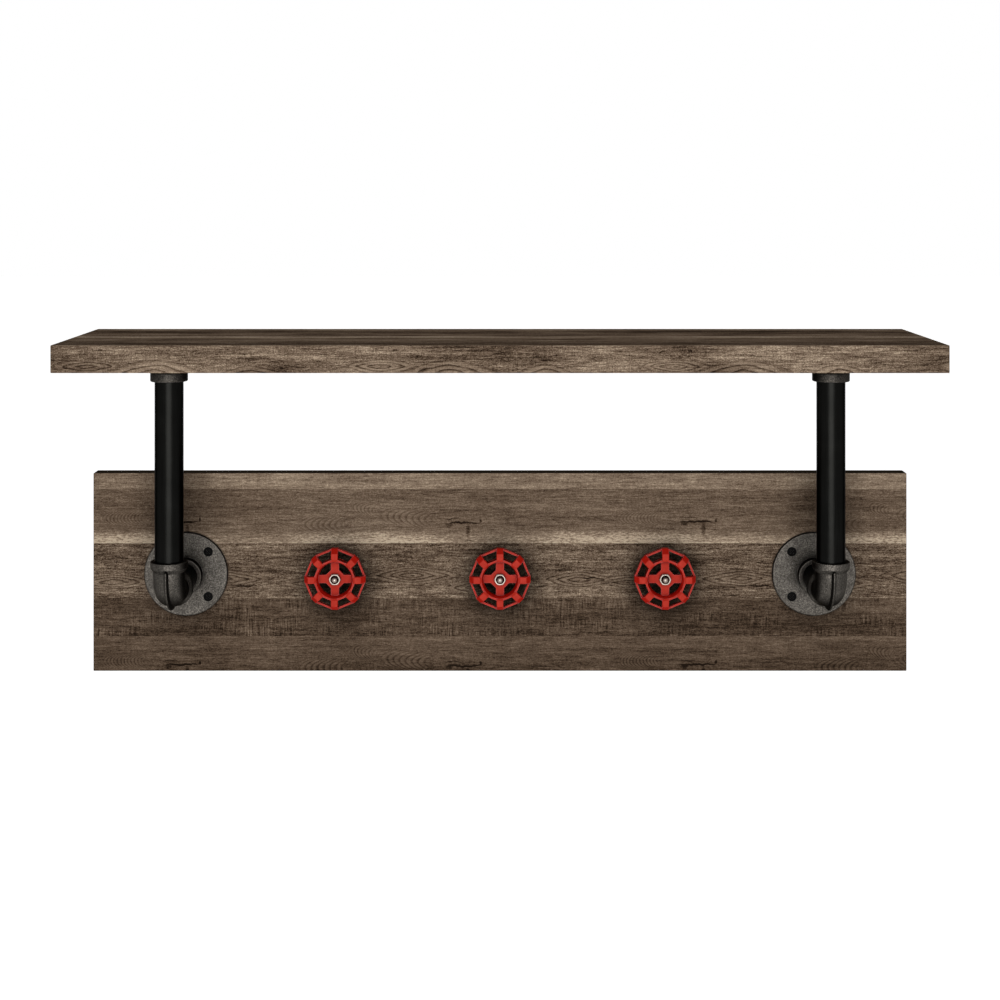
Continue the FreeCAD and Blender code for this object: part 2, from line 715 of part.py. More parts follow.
def make_wheel(label):
    """A cast valve handwheel: hub back at Z = 0, spokes, inner ring, octagonal rim and eight ribs."""
    body = new_body(label)
    spoke_back = S.hub_length - S.spoke_thickness
    rim_front = S.hub_length + S.rim_forward
    rim_back = rim_front - S.rim_depth
    ring_front = S.hub_length + S.ring_forward
    crest = S.hub_length + S.rib_forward
    ring_mouth = S.ring_flats / 2 - S.ring_lip
    ring_bore = ring_mouth - S.ring_draft
    rib_end = S.rim_flats / 2 + S.rib_overhang
    crest_end = rib_end - S.rib_fall_run

    boss = new_sketch(body, f"{label}_boss")
    draw_circle(boss, ZERO, ZERO, S.boss_diameter / 2)
    pad(body, boss, S.hub_length)

    spokes = new_sketch(body, f"{label}_spokes", offset=spoke_back)
    half = S.spoke_width / 2
    gusset = S.hub_flats * DIAGONAL - half
    tip = (ring_bore + ring_mouth) / 2
    outline = []
    for right, up in QUADRANTS:
        corner = [
            (tip * right, half * up),
            (gusset * right, half * up),
            (half * right, gusset * up),
            (half * right, tip * up),
        ]
        outline += corner if right * up > 0 else corner[::-1]
    draw_chain(spokes, outline)
    pad(body, spokes, S.spoke_thickness)

    ring = new_sketch(body, f"{label}_ring", offset=spoke_back)
    draw_octagon(ring, S.ring_flats)
    draw_circle(ring, ZERO, ZERO, ring_bore)
    pad(body, ring, S.spoke_thickness + S.ring_forward)
    mouth = new_sketch(body, f"{label}_mouth", "XZ_Plane")
    draw_chain(mouth, (
        (ring_bore, S.hub_length),
        (ring_mouth, ring_front),
        (ring_bore, ring_front),
    ))
    groove(body, mouth)

    rib = new_sketch(body, f"{label}_rib", "XZ_Plane")
    underside = crest - S.rib_thickness
    inner_face = rib_end - S.rib_thickness
    draw_chain(rib, (
        (ring_mouth, underside),
        (ring_mouth, ring_front),
        (ring_mouth + S.rib_rise_run, crest),
        (crest_end, crest),
        (rib_end, rim_front),
        (rib_end, rim_back),
        (inner_face, rim_back),
        (inner_face, rim_front),
        (crest_end - S.rib_thickness / 2, underside),
    ))
    strap = pad(body, rib, S.rib_width, symmetric=True)

    rim = new_sketch(body, f"{label}_rim", offset=rim_back)
    outer = S.rim_flats / 2
    inner = outer - S.rim_bar
    reach = outer * math.tan(HALF_FACET) - S.rib_width * RIB_OVERLAP
    draw_chain(rim, [
        along_facet(apothem, tangent)
        for apothem, tangent in ((inner, -reach), (outer, -reach), (outer, reach), (inner, reach))
    ])
    bar = pad(body, rim, S.rim_depth)
    repeat_round(body, [strap, bar], WHEEL_SIDES)

    bore = new_sketch(body, f"{label}_bore")
    draw_circle(bore, ZERO, ZERO, bolt_radius + S.wheel_bore_clearance)
    pocket(body, bore, S.hub_length, reverse=True)

    def on_crest(edge):
        return all(near(vertex.Point.z, crest.value) for vertex in edge.Vertexes)

    dress(body, "Fillet", f"{label}_crests", S.rib_round, on_crest)
    return body


def make_nut(label):
    """A hex nut with bevelled corners and a bevelled hole."""
    body = new_body(label)
    corner = S.nut_flats / (2 * math.cos(HALF_NUT_SIDE))
    blank = new_sketch(body, f"{label}_blank")
    turns = [step * 2 * HALF_NUT_SIDE for step in range(NUT_SIDES)]
    draw_chain(blank, [(corner * math.cos(turn), corner * math.sin(turn)) for turn in turns])
    draw_circle(blank, ZERO, ZERO, bolt_radius + S.fit_clearance)
    pad(body, blank, S.nut_height)
    bevel = new_sketch(body, f"{label}_bevel", "XZ_Plane")
    bevel_start = corner - S.nut_bevel
    bevel_height = S.nut_bevel * math.tan(NUT_BEVEL_SLOPE)
    draw_chain(bevel, (
        (bevel_start, S.nut_height),
        (corner + S.nut_bevel, S.nut_height - bevel_height * 2),
        (corner + S.nut_bevel, S.nut_height),
    ))
    groove(body, bevel)
    dress(body, "Chamfer", f"{label}_mouth", S.nut_mouth,
          lambda edge: is_circle(edge, bolt_radius + S.fit_clearance, S.nut_height))
    return body


def make_hook(side, sign):
    """One hook: bolt through the board, spacer, wheel and nut."""
    x = S.hook_spacing * sign
    bolt = make_hook_bolt(f"{side}_hook_bolt")
    place(bolt, x, -S.head_sink, axis_z, INTO_ROOM)
    spacer = make_spacer(f"{side}_hook_spacer")
    place(spacer, x, board_face, axis_z, INTO_ROOM)
    wheel = make_wheel(f"{side}_hook_wheel")
    place(wheel, x, board_face - hub_back, axis_z, INTO_ROOM)
    nut = make_nut(f"{side}_hook_nut")
    place(nut, x, board_face - hub_front - S.wheel_play, axis_z, INTO_ROOM)
    return [bolt, spacer, wheel, nut]


# Keyhole hangers

def make_hanger_plate(label):
    """A hanger plate with its outer face at Y = 0, a keyhole and two countersunk screw holes."""
    body = new_body(label)
    blank = new_sketch(body, f"{label}_blank", "XZ_Plane")
    draw_obround(blank, ZERO, ZERO, S.hanger_length, S.hanger_width)
    pad(body, blank, S.hanger_thickness)
    keyhole = new_sketch(body, f"{label}_keyhole", "XZ_Plane")
    draw_circle(keyhole, ZERO, keyhole_level, S.keyhole_entry / 2)
    pocket(body, keyhole, S.hanger_thickness, reverse=True)
    slot = new_sketch(body, f"{label}_slot", "XZ_Plane")
    half = S.keyhole_slot / 2
    slot_end = keyhole_level + S.keyhole_rise
    draw_chain(slot, (
        (half, keyhole_level),
        (half, slot_end, (ZERO, slot_end), 1),
        (-half, slot_end),
        (-half, keyhole_level),
    ))
    pocket(body, slot, S.hanger_thickness, reverse=True)
    shank = S.hanger_screw_shank / 2 + S.fit_clearance
    head = S.hanger_screw_head / 2 + S.fit_clearance
    for end in (-1, 1):
        hole = new_sketch(body, f"{label}_hole_{'left' if end < 0 else 'right'}")
        centre = S.hanger_screw_spacing / 2 * end
        add_axis(hole, centre)
        draw_chain(hole, (
            (centre, ZERO),
            (centre + head, ZERO),
            (centre + shank, shank - head),
            (centre + shank, -S.hanger_thickness),
            (centre, -S.hanger_thickness),
        ))
        groove(body, hole, "Axis0")
    return body


def make_hanger_screws(label):
    """The two countersunk screws of a hanger plate, heads flush with its outer face."""
    body = new_body(label)
    body.AllowCompound = True
    centre = S.hanger_screw_spacing / 2
    shank = S.hanger_screw_shank / 2
    head = S.hanger_screw_head / 2
    profile = new_sketch(body, f"{label}_profile", "XZ_Plane")
    add_axis(profile, centre)
    draw_chain(profile, (
        (centre, ZERO),
        (centre, S.hanger_screw_length),
        (centre + shank, S.hanger_screw_length - S.hanger_screw_tip),
        (centre + shank, head - shank),
        (centre + head, ZERO),
    ))
    screw = revolve(body, profile, "Axis0")
    repeat_round(body, [screw], HANGER_SCREWS)
    return body


def make_hanger(side, sign):
    x = S.hanger_spacing / 2 * sign
    plate = make_hanger_plate(f"{side}_hanger_plate")
    place(plate, x, ZERO, S.keyhole_drop)
    screws = make_hanger_screws(f"{side}_hanger_screws")
    place(screws, x, ZERO, S.keyhole_drop, INTO_ROOM)
    return [plate, screws]


nodes = [make_shelf_board(), make_back_board()]
for side, sign in SIDES:
    nodes += make_bracket(side, sign)
for side, sign in HOOKS:
    nodes += make_hook(side, sign)
for side, sign in SIDES:
    nodes += make_hanger(side, sign)
doc.recompute()

for thing in doc.Objects:
    if "Invalid" in thing.State or "Error" in thing.State:
        raise RuntimeError(f"{thing.Label} failed: {thing.State}")
for node in nodes:
    if node.Shape.isNull() or not node.Shape.isValid():
        raise RuntimeError(f"{node.Label} has no valid shape")

os.makedirs("parts", exist_ok=True)
for node in nodes:
    node.Shape.exportStep(f"parts/{node.Label}.step")
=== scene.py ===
import json
import math
from typing import NamedTuple

import bpy
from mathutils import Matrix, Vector


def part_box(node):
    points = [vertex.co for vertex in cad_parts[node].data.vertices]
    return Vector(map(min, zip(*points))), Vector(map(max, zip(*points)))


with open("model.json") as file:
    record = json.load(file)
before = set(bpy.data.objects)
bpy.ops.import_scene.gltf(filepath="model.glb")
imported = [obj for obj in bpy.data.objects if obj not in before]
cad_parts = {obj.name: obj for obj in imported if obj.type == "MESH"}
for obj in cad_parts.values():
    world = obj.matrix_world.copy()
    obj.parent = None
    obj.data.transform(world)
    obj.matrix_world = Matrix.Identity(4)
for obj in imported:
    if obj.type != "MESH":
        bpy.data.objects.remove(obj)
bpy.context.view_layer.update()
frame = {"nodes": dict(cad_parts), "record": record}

# Faces that the wood finishes are laid out from, in millimetres
MM = 1000.0
SHELF_LOW, SHELF_HIGH = (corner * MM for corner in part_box("shelf_board"))
BOARD_LOW, BOARD_HIGH = (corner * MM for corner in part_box("back_board"))

# The photograph's view: a level camera whose horizon lies above the middle of the picture
PICTURE_PIXELS = 1000.0
SENSOR_WIDTH = 36.0
FOCAL_PIXELS = 1694.5
HORIZON_PIXEL = 189.5
CAMERA_PLACE = (0.0, -1.895, 0.3638)

# The studio: a floor well below the shelf, as below a wall, and a dim fill that is stronger from above
FLOOR_LEVEL = -1.3
FLOOR_REACH = 30.0
FLOOR_GLOW = 0.96
FILL_ABOVE = 0.07
FILL_BELOW = 0.01
WHITE = (1.0, 1.0, 1.0, 1.0)

# Rays that feel for the edges near a point, and for what closes it in
EDGE_SAMPLES = 6
SHADE_SAMPLES = 8


def linear(red, green, blue):
    """A colour in ordinary 0 to 255 values, as the shader wants it."""
    shares = (value / 255.0 for value in (red, green, blue))
    curved = (s / 12.92 if s <= 0.04045 else ((s + 0.055) / 1.055) ** 2.4 for s in shares)
    return (*curved, 1.0)


# The colours of the finishes. Those in several steps run from dark to light.
WOOD_BROWNS = (
    (0.00, linear(30, 22, 16)),
    (0.20, linear(64, 51, 40)),
    (0.45, linear(99, 83, 69)),
    (0.70, linear(131, 114, 97)),
    (0.90, linear(162, 144, 123)),
    (1.00, linear(184, 167, 145)),
)
WOOD_SHADE = linear(6, 4, 3)
WOOD_EDGE_SHADE = linear(14, 11, 9)
WOOD_WORN = linear(34, 26, 20)
IRON_GREYS = (
    (0.0, linear(20, 18, 17)),
    (0.5, linear(62, 59, 55)),
    (1.0, linear(104, 99, 93)),
)
IRON_CORNER_SHADE = linear(5, 4, 3)
IRON_FACING_SHADE = linear(9, 8, 7)
IRON_WORN = linear(84, 80, 76)
PIPE_BLACKS = (
    (0.0, linear(11, 11, 10)),
    (0.5, linear(17, 17, 16)),
    (1.0, linear(24, 24, 23)),
)
PIPE_WORN = linear(70, 68, 64)
SCREW_BLACKS = ((0.2, linear(3, 3, 3)), (0.8, linear(13, 12, 11)))
SCREW_WORN = linear(66, 64, 60)
WHEEL_REDS = (
    (0.0, linear(148, 28, 18)),
    (0.5, linear(168, 45, 33)),
    (1.0, linear(184, 58, 46)),
)
WHEEL_SLOPE_SHADE = linear(172, 20, 9)
WHEEL_CORNER_SHADE = linear(84, 0, 0)
WHEEL_WEAR_AND_HIGHLIGHT = linear(192, 106, 108)
STEEL_GREYS = ((0.2, linear(120, 110, 102)), (0.8, linear(154, 144, 136)))
STEEL_CORNER_SHADE = linear(16, 12, 8)
ZINC_GREYS = ((0.1, linear(138, 140, 142)), (0.9, linear(196, 198, 200)))
FLOOR_WHITES = ((0.0, linear(238, 238, 236)), (1.0, linear(246, 246, 245)))

# How much of its shine a dark metal keeps where it curves out of sight
DARK_RIM = (0.45, 0.45, 0.45, 1.0)


class Nodes:
    """A node tree, with short names for the kinds of node that are used here."""

    def __init__(self, tree):
        self.tree = tree

    def feed(self, socket, value):
        """Links a socket to another node's result, or sets it to a plain value."""
        if isinstance(value, bpy.types.NodeSocket):
            self.tree.links.new(value, socket)
        else:
            socket.default_value = value

    def node(self, kind, inputs=None, **settings):
        made = self.tree.nodes.new("ShaderNode" + kind)
        for key, value in settings.items():
            setattr(made, key, value)
        for key, value in (inputs or {}).items():
            self.feed(made.inputs[key], value)
        return made

    def math(self, operation, a, b=0.0, c=0.0, clamp=False):
        made = self.node("Math", {0: a, 1: b, 2: c}, operation=operation, use_clamp=clamp)
        return made.outputs[0]

    def add(self, *terms):
        total = terms[0]
        for term in terms[1:]:
            total = self.math("ADD", total, term)
        return total

    def times(self, a, b):
        return self.math("MULTIPLY", a, b)

    def larger(self, a, b):
        return self.math("MAXIMUM", a, b)

    def unsigned(self, value):
        return self.math("ABSOLUTE", value)

    def squared(self, value):
        return self.math("POWER", value, 2.0)

    def shifted(self, value, gain):
        """How far a 0 to 1 pattern is from its middle, times a gain."""
        return self.math("MULTIPLY_ADD", value, gain, -gain / 2)

    def step(self, value, low, high, to_low=0.0, to_high=1.0):
        """A smooth rise or fall from one level to another."""
        levels = {"From Min": low, "From Max": high, "To Min": to_low, "To Max": to_high}
        made = self.node("MapRange", {"Value": value, **levels}, interpolation_type="SMOOTHSTEP")
        return made.outputs[0]

    def blend(self, factor, a, b):
        """A number that goes from one value to another."""
        return self.node("Mix", {0: factor, 2: a, 3: b}, data_type="FLOAT").outputs[0]

    def mix(self, factor, a, b):
        """A colour that goes from one to another."""
        return self.node("Mix", {0: factor, 6: a, 7: b}, data_type="RGBA").outputs[2]

    def vector(self, x, y, z):
        return self.node("CombineXYZ", {0: x, 1: y, 2: z}).outputs[0]

    def parts(self, vector):
        """A vector's three numbers."""
        return self.node("SeparateXYZ", {0: vector}).outputs

    def seen_directly(self):
        """1 for what the camera, a mirror or a pane shows, 0 for light that falls on things."""
        ray = self.node("LightPath").outputs
        mirrored = self.larger(ray["Is Glossy Ray"], ray["Is Transmission Ray"])
        return self.larger(ray["Is Camera Ray"], mirrored)


class Shader(Nodes):
    """A material and what the finishes here are made of."""

    def __init__(self, name):
        self.material = bpy.data.materials.new(name)
        self.material.use_nodes = True
        super().__init__(self.material.node_tree)
        self.surface = self.tree.nodes["Principled BSDF"]

    def finish(self, **inputs):
        """Sets the surface's own inputs, whose names are written with underscores for spaces."""
        for key, value in inputs.items():
            self.feed(self.surface.inputs[key.replace("_", " ")], value)
        return self.material

    def place(self):
        """The point's place in the frame, in millimetres."""
        place = self.node("TexCoord").outputs["Object"]
        scaled = self.node("VectorMath", {0: place, "Scale": MM}, operation="SCALE")
        return scaled.outputs["Vector"]

    def facing(self):
        """The face's own direction, as three numbers."""
        return self.parts(self.node("TexCoord").outputs["Normal"])

    def noise(self, vector, scale=1.0, detail=2.0, roughness=0.5):
        inputs = {"Vector": vector, "Scale": scale, "Detail": detail, "Roughness": roughness}
        return self.node("TexNoise", inputs).outputs[0]

    def ramp(self, factor, stops):
        made = self.node("ValToRGB", {0: factor})
        elements = made.color_ramp.elements
        while len(elements) < len(stops):
            elements.new(1.0)
        for element, (position, colour) in zip(elements, stops):
            element.position = position
            element.color = colour
        return made.outputs["Color"]

    def bump(self, height, depth, strength):
        """Relief of a given depth, in metres, from a 0 to 1 height."""
        made = self.node("Bump", {"Height": height, "Distance": depth, "Strength": strength})
        return made.outputs["Normal"]

    def edges(self, radius):
        """How near the point is to a sharp edge: 0 on a flat, rising towards 1."""
        rounded = self.node("Bevel", {"Radius": radius}, samples=EDGE_SAMPLES).outputs["Normal"]
        flat = self.node("NewGeometry").outputs["Normal"]
        alike = self.node("VectorMath", {0: rounded, 1: flat}, operation="DOT_PRODUCT")
        return self.math("SUBTRACT", 1.0, alike.outputs["Value"], clamp=True)

    def openness(self, distance, lean=(0.0, 0.0, 0.0)):
        """How much within a distance is open, seen along a line that may lean aside."""
        flat = self.node("NewGeometry").outputs["Normal"]
        tipped = self.node("VectorMath", {0: flat, 1: lean}, operation="ADD").outputs["Vector"]
        aim = self.node("VectorMath", {0: tipped}, operation="NORMALIZE").outputs["Vector"]
        inputs = {"Distance": distance, "Normal": aim}
        return self.node("AmbientOcclusion", inputs, samples=SHADE_SAMPLES).outputs["AO"]

    def worn(self, colour, bare, radius, low, high, strength):
        """The colour, with another one where the edges are worn."""
        wear = self.step(self.edges(radius), low, high)
        return self.mix(self.times(wear, strength), colour, bare)

    def corner_shaded(self, colour, dark, distance, low, high, strength):
        """The colour, with a darker one painted in the corners as shade."""
        shut = self.step(self.openness(distance), low, high, to_low=strength, to_high=0.0)
        return self.mix(shut, colour, dark)


class Plank(NamedTuple):
    """One strip of a print. Levels are millimetres across the grain, from the face's top front edge.

    The tone leans with the distance above the heart. Saw and grain say how strong those marks are.
    """

    start: float
    heart: float
    tone: float
    lean: float = 0.0
    saw: float = 0.2
    grain: float = 1.0


class Crack(NamedTuple):
    """A dark split or smear: its place along and across the grain, its half sizes and darkness."""

    along: float
    across: float
    half_length: float
    half_width: float
    depth: float = 1.0


class Eye(NamedTuple):
    """The middle of almond-shaped rings: its place, length over height, reach and ring pitch."""

    along: float
    across: float
    slender: float
    reach: float
    pitch: float = 2.7


class Tongue(NamedTuple):
    """Nested arcs that point along the grain: the first tip, how far they go on and fall, and their pitch."""

    along: float
    across: float
    length: float
    slope: float
    pitch: float


class PaleEdge(NamedTuple):
    """A plank's paler lower edge: its seam, where it starts and is full, and where along it is palest."""

    seam: float
    start: float
    full: float
    first: float
    spacing: float


class Print(NamedTuple):
    """What the wood print of a board is laid out from, in millimetres.

    The lowest strip shows what is on the print as far up as it says in raised.
    """

    low: Vector
    high: Vector
    repeat: float
    seed: float
    planks: tuple
    cracks: tuple
    eyes: tuple
    tongues: tuple = ()
    raised: float = 0.0
    clouds: float = 0.3
    pale_edge: PaleEdge = None
    dark_edges: bool = False


def tee_crack(along, across):
    """A split with a hooked end, a finer one over it and a smear below."""
    return (
        Crack(along, across, 21.5, 1.3),
        Crack(along - 11.0, across + 4.5, 10.5, 0.7, 0.6),
        Crack(along + 20.0, across + 2.5, 1.6, 2.4, 0.8),
        Crack(along - 15.0, across - 2.0, 4.5, 3.0, 0.45),
        Crack(along + 6.0, across - 9.0, 2.8, 8.0, 0.6),
    )


# The seam under the back board's second strip from the top, whose lower edge is pale
PALE_SEAM = -77.7

BOARD_PRINT = Print(
    low=BOARD_LOW,
    high=BOARD_HIGH,
    repeat=571.0,
    seed=11.7,
    planks=(
        Plank(start=-300.0, heart=-198.0, tone=0.335, lean=0.004, grain=0.72),
        Plank(start=-180.4, heart=-160.0, tone=0.31, lean=0.0022, saw=1.0, grain=0.85),
        Plank(start=-138.3, heart=-108.0, tone=0.468, lean=-0.0008, saw=0.45, grain=1.45),
        Plank(start=PALE_SEAM, heart=-41.0, tone=0.445, lean=-0.001, grain=0.82),
        Plank(start=-17.7, heart=-8.0, tone=0.63, lean=-0.004, saw=0.3, grain=0.9),
    ),
    cracks=(
        *tee_crack(408.7, -55.0),
        *tee_crack(98.0, -54.0),
        Crack(416.7, -74.7, 6.5, 0.7, 0.6),
        Crack(167.0, -125.0, 15.0, 1.2),
        Crack(497.0, -125.0, 8.0, 1.2),
        Crack(550.0, -116.0, 8.0, 1.0),
    ),
    eyes=(
        Eye(354.0, -113.5, 5.0, 13.0),
        Eye(420.0, -127.0, 4.0, 9.0),
        Eye(538.0, -118.0, 5.0, 12.0),
        Eye(145.0, -117.0, 5.0, 13.0),
        Eye(250.0, -122.0, 6.0, 10.0),
        Eye(20.0, -121.0, 6.0, 11.0),
    ),
    tongues=(
        Tongue(along=4.0, across=-50.0, length=60.0, slope=0.0, pitch=3.8),
        Tongue(along=223.0, across=-57.0, length=62.0, slope=0.0, pitch=6.6),
        Tongue(along=284.0, across=-37.0, length=30.0, slope=-0.2, pitch=4.2),
        Tongue(along=312.0, across=-46.0, length=70.0, slope=-0.1, pitch=7.0),
    ),
    raised=158.0,
    pale_edge=PaleEdge(seam=PALE_SEAM, start=-60.0, full=-76.0, first=8.0, spacing=285.5),
    dark_edges=True,
)


def edge_figure(along):
    """What the print of the shelf's front edge repeats: an eye, a hump and a falling arc."""
    return (
        Eye(along, -21.4, 5.2, 9.0, pitch=2.5),
        Eye(along + 68.0, -29.0, 3.6, 17.0, pitch=4.8),
        Eye(along + 164.0, -33.0, 2.6, 17.0, pitch=4.6),
    )


# On the shelf the first strip is the front edge, and the rest lie behind one another on top
SHELF_PRINT = Print(
    low=SHELF_LOW,
    high=SHELF_HIGH,
    repeat=590.0,
    seed=3.1,
    planks=(
        Plank(start=-300.0, heart=-19.0, tone=0.52, saw=0.5, grain=1.4),
        Plank(start=0.0, heart=4.0, tone=0.48),
        Plank(start=8.0, heart=13.0, tone=0.2),
        Plank(start=19.0, heart=30.0, tone=0.38),
        Plank(start=42.0, heart=66.0, tone=0.49),
        Plank(start=89.0, heart=95.0, tone=0.8),
        Plank(start=101.0, heart=120.0, tone=0.43),
        Plank(start=138.0, heart=158.0, tone=0.29),
        Plank(start=178.0, heart=185.0, tone=0.60),
        Plank(start=194.0, heart=197.0, tone=0.08, saw=0.0),
    ),
    cracks=(
        Crack(50.0, -5.0, 3.0, 1.2, 0.7),
        Crack(204.0, -13.0, 20.0, 2.6, 0.35),
        Crack(345.0, -5.0, 3.0, 1.2, 0.7),
        Crack(499.0, -13.0, 20.0, 2.6, 0.35),
        Crack(330.0, 90.0, 26.0, 1.4),
        Crack(120.0, 140.0, 20.0, 1.4),
    ),
    eyes=(*edge_figure(36.0), *edge_figure(331.0)),
    clouds=0.85,
)

# The shape of the rings, where 1 is a lozenge and 2 an ellipse
ALMOND = 1.45

# Half the width of the nested arcs, and how blunt their tips are
ARC_HALF_WIDTH = 13.0
ARC_BLUNTNESS = 6.5

# How much lighter or darker the marks make the print, and the ground that the rings and arcs lie on
PORE_TONE = -0.11
RING_TONE = -0.38
RING_GROUND_TONE = 0.1
ARC_TONE = -0.17
ARC_GROUND_TONE = 0.05
SPLIT_TONE = -0.5

# How much of the grain is left where rings or arcs are
CALM_GRAIN = 0.65

# How far along its noise each plank lies from the next, by the distance of their hearts
PLANK_SHIFT = 17.0

# Shares of a face's direction: an end face has more than this along the shelf, and an edge of the
# back board less than this forwards
END_SHARE = 0.7
EDGE_SHARE = 0.6

# Shade on the boards falls down from what stands off them, and very little to the right
SHADE_LEAN = (-0.03, 0.0, 0.35)


class WoodShader(Shader):
    """The shader of a board's print, which knows where in the print a point lies."""

    def __init__(self, name, layout):
        super().__init__(name)
        self.layout = layout
        self.along, self.across = self.grain_space()
        self.from_end = self.add(self.along, -layout.low.x)
        self.printed = self.math("FLOORED_MODULO", self.from_end, layout.repeat)
        lowest = self.math("LESS_THAN", self.across, layout.planks[1].start)
        self.level = self.math("MULTIPLY_ADD", lowest, layout.raised, self.across)

        # Each plank has its own part of the noise
        self.heart = self.by_plank("heart")
        self.layer = self.add(self.heart, layout.seed)
        self.run = self.math("MULTIPLY_ADD", self.layer, PLANK_SHIFT, self.along)

        # Marks that the finish needs more than once
        self.fibre = self.streaks(20.0, 1.6, roughness=0.6)
        self.hair = self.streaks(4.0, 1.1, detail=1.0)
        self.bands = self.streaks(120.0, 5.0, detail=3.0)
        self.blotches = self.streaks(34.0, 9.0, detail=3.0, roughness=0.6)
        self.clouds = self.streaks(110.0, 26.0)
        self.saw = self.streaks(1.5, 17.0, detail=1.0)
        self.split = self.crack_marks()

    def grain_space(self):
        """Millimetres along and across the grain, wrapped from the front face on to the top."""
        x, y, z = self.parts(self.place())
        across = self.add(z, y, -(self.layout.high.z + self.layout.low.y))
        end_face = self.math("GREATER_THAN", self.unsigned(self.facing()[0]), END_SHARE)
        return self.blend(end_face, x, z), self.blend(end_face, across, y)

    def by_plank(self, field):
        """A number that each plank has its own value of."""
        planks = self.layout.planks
        value = getattr(planks[0], field)
        for below, above in zip(planks, planks[1:]):
            past = self.math("GREATER_THAN", self.across, above.start)
            change = getattr(above, field) - getattr(below, field)
            value = self.math("MULTIPLY_ADD", past, change, value)
        return value

    def streaks(self, length, width, detail=2.0, roughness=0.5):
        """Noise that is drawn out along the grain to a length and a width in millimetres."""
        along = self.times(self.run, 1 / length)
        across = self.times(self.across, 1 / width)
        return self.noise(self.vector(along, across, self.layer), detail=detail, roughness=roughness)

    def crack_marks(self):
        """1 in the cracks of the print and 0 elsewhere."""
        wobble = self.shifted(self.streaks(9.0, 40.0), 6.0)
        total = 0.0
        for crack in self.layout.cracks:
            aside = self.times(self.add(self.printed, -crack.along), 1 / crack.half_length)
            above = self.times(self.add(self.level, wobble, -crack.across), 1 / crack.half_width)
            reach = self.add(self.squared(aside), self.squared(above))
            total = self.larger(total, self.step(reach, 0.1, 1.2, to_low=crack.depth, to_high=0.0))
        return total

    def ring_marks(self, wobble):
        """1 on the dark rings round the eyes, and 1 all over their area, both fading outwards."""
        total = area = 0.0
        for eye in self.layout.eyes:
            aside = self.unsigned(self.times(self.add(self.printed, -eye.along), 1 / eye.slender))
            above = self.unsigned(self.add(self.level, -eye.across))
            powers = (self.math("POWER", reach, ALMOND) for reach in (aside, above))
            ring = self.add(self.math("POWER", self.add(*powers), 1 / ALMOND), wobble)
            late = self.math("FRACT", self.times(ring, 1 / eye.pitch))
            fade = self.step(ring, 0.6 * eye.reach, eye.reach, to_low=1.0, to_high=0.0)
            total = self.larger(total, self.times(self.step(late, 0.5, 0.92), fade))
            area = self.larger(area, fade)
        return total, area

    def arc_marks(self, wobble):
        """1 on the dark nested arcs, and 1 all over their area, both fading outwards."""
        total = area = 0.0
        inner, outer = (0.4 * ARC_HALF_WIDTH) ** 2, ARC_HALF_WIDTH ** 2
        for tongue in self.layout.tongues:
            aside = self.add(self.printed, -tongue.along)
            middle = self.math("MULTIPLY_ADD", aside, tongue.slope, tongue.across)
            above = self.squared(self.math("SUBTRACT", self.level, middle))
            tip = self.math("MULTIPLY_ADD", above, -1 / ARC_BLUNTNESS, self.add(aside, wobble))
            late = self.math("FRACT", self.times(tip, 1 / tongue.pitch))
            wide = self.step(above, inner, outer, to_low=1.0, to_high=0.0)
            begun = self.step(aside, 0.0, 0.2 * tongue.length)
            over = self.step(aside, 0.7 * tongue.length, tongue.length, to_low=1.0, to_high=0.0)
            fade = self.times(wide, self.times(begun, over))
            total = self.larger(total, self.times(self.step(late, 0.4, 0.85), fade))
            area = self.larger(area, fade)
        return total, area

    def grain_marks(self):
        """Fibres, hairs, bands, blotches, specks and pores."""
        speckle = self.streaks(1.3, 0.9, detail=1.0)
        pores = self.step(self.streaks(7.0, 1.3), 0.56, 0.68)
        return self.add(
            self.shifted(self.fibre, gain=0.75),
            self.shifted(self.hair, gain=0.45),
            self.shifted(self.bands, gain=0.4),
            self.shifted(self.blotches, gain=0.3),
            self.shifted(speckle, gain=0.8),
            self.times(pores, PORE_TONE),
        )

    def saw_marks(self):
        """Fine lines across the grain, in places."""
        places = self.step(self.streaks(46.0, 15.0), 0.38, 0.62)
        strength = self.times(places, self.by_plank("saw"))
        return self.times(self.shifted(self.saw, gain=0.75), strength)

    def tone(self):
        """How light the print is, from 0 to 1."""
        ripple = self.shifted(self.streaks(34.0, 9.0), gain=4.4)
        rings, ring_area = self.ring_marks(ripple)
        arcs, arc_area = self.arc_marks(ripple)
        figured = self.larger(ring_area, arc_area)
        calm = self.step(figured, 0.0, 1.0, to_low=1.0, to_high=CALM_GRAIN)
        from_heart = self.math("SUBTRACT", self.across, self.heart)
        return self.add(
            self.by_plank("tone"),
            self.times(from_heart, self.by_plank("lean")),
            self.shifted(self.clouds, gain=self.layout.clouds),
            self.times(self.times(self.grain_marks(), calm), self.by_plank("grain")),
            self.saw_marks(),
            self.times(rings, RING_TONE),
            self.times(ring_area, RING_GROUND_TONE),
            self.times(arcs, ARC_TONE),
            self.times(arc_area, ARC_GROUND_TONE),
            self.times(self.split, SPLIT_TONE),
        )

    def paler(self, edge):
        """How much lighter the print is at a plank's pale edge, which is wavy and patchy."""
        waves = (self.shifted(self.bands, gain=14.0), self.shifted(self.blotches, gain=10.0))
        rise = self.step(self.add(self.across, *waves), edge.full, edge.start, to_low=1.0, to_high=0.0)
        above_seam = self.math("GREATER_THAN", self.across, edge.seam)
        turn = self.times(self.add(self.from_end, -edge.first), math.tau / edge.spacing)
        places = self.add(self.math("COSINE", turn), self.shifted(self.clouds, gain=2.0))
        patches = self.step(places, -0.6, 0.9, to_low=0.7, to_high=1.25)
        hairy = self.add(0.4, self.shifted(self.hair, gain=0.8))
        return self.times(self.times(self.times(rise, above_seam), patches), hairy)

